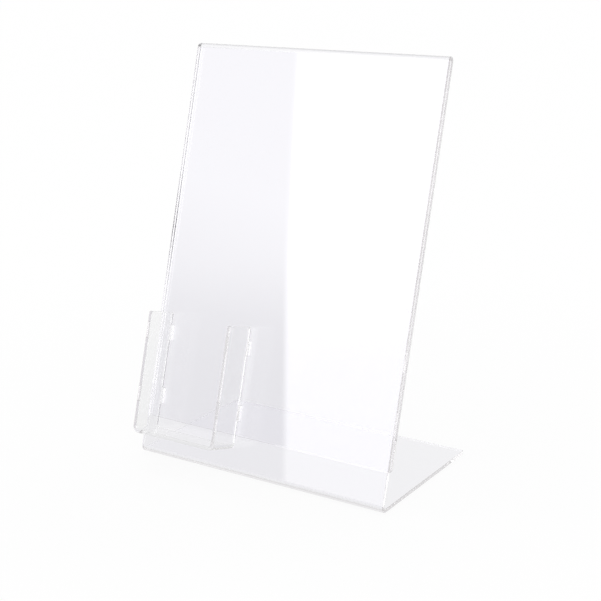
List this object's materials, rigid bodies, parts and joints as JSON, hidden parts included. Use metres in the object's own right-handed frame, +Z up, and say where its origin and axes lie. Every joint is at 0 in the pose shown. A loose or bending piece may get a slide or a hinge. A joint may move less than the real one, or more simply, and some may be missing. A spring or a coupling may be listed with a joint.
{
  "type": "sign holder",
  "caption": "Free-standing slanted holder of clear acrylic: a sheet folded into base, leaning face and rear flap for a portrait sign, with a small open tray on the face.",
  "frame": {"origin": "on the table, under the middle of the holder's bounding box", "axes": "+X across the face to the reader's right, +Y to the back, +Z up; the face looks to -Y and leans back"},
  "size_m": [0.216, 0.1492, 0.3079],
  "materials": {
    "clear_sheet": "clear cast acrylic with polished faces and edges",
    "clear_tray": "clear cast acrylic with polished faces and edges"
  },
  "bodies": {
    "root": {"sign_sheet": "clear_sheet", "pocket_tray": "clear_tray"}
  },
  "joints": []
}
